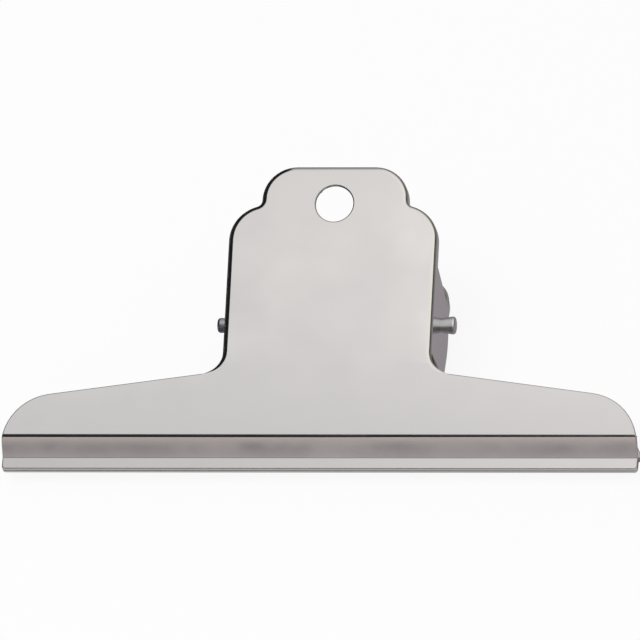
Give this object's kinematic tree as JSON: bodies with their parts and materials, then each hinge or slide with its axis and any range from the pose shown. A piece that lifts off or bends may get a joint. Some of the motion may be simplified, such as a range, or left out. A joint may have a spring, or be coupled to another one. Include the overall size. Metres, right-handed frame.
{
  "type": "bulldog clip",
  "caption": "Wide bulldog clip for thick bundles of paper: two pressed nickel-plated steel plates hinged on a pin, closed by a torsion spring.",
  "frame": {"origin": "on the outer face of the back plate, which the clip lies on, straight under the middle of the hinge pin", "axes": "+X along the jaw and the pin, +Y from the pin up the back handle, away from the lips, +Z from the back plate towards the front plate"},
  "size_m": [0.149, 0.0738, 0.0395],
  "materials": {
    "nickel_plate": "polished warm nickel plating",
    "pin_steel": "plated steel, duller than the plates, with fine turning marks",
    "spring_steel": "plated drawn spring wire"
  },
  "bodies": {
    "back": {"back_plate": "nickel_plate", "torsion_spring": "spring_steel"},
    "front": {"front_plate": "nickel_plate", "hinge_pin": "pin_steel"}
  },
  "joints": [
    {"name": "jaw_hinge", "type": "hinge", "parent": "back", "child": "front", "pos_m": [0, 0, 0.013], "axis": [-1, 0, 0], "range_deg": [0, 45], "stiffness_Nm_per_rad": 0.48, "springref_deg": -120.32, "deforming": ["torsion_spring"]}
  ]
}
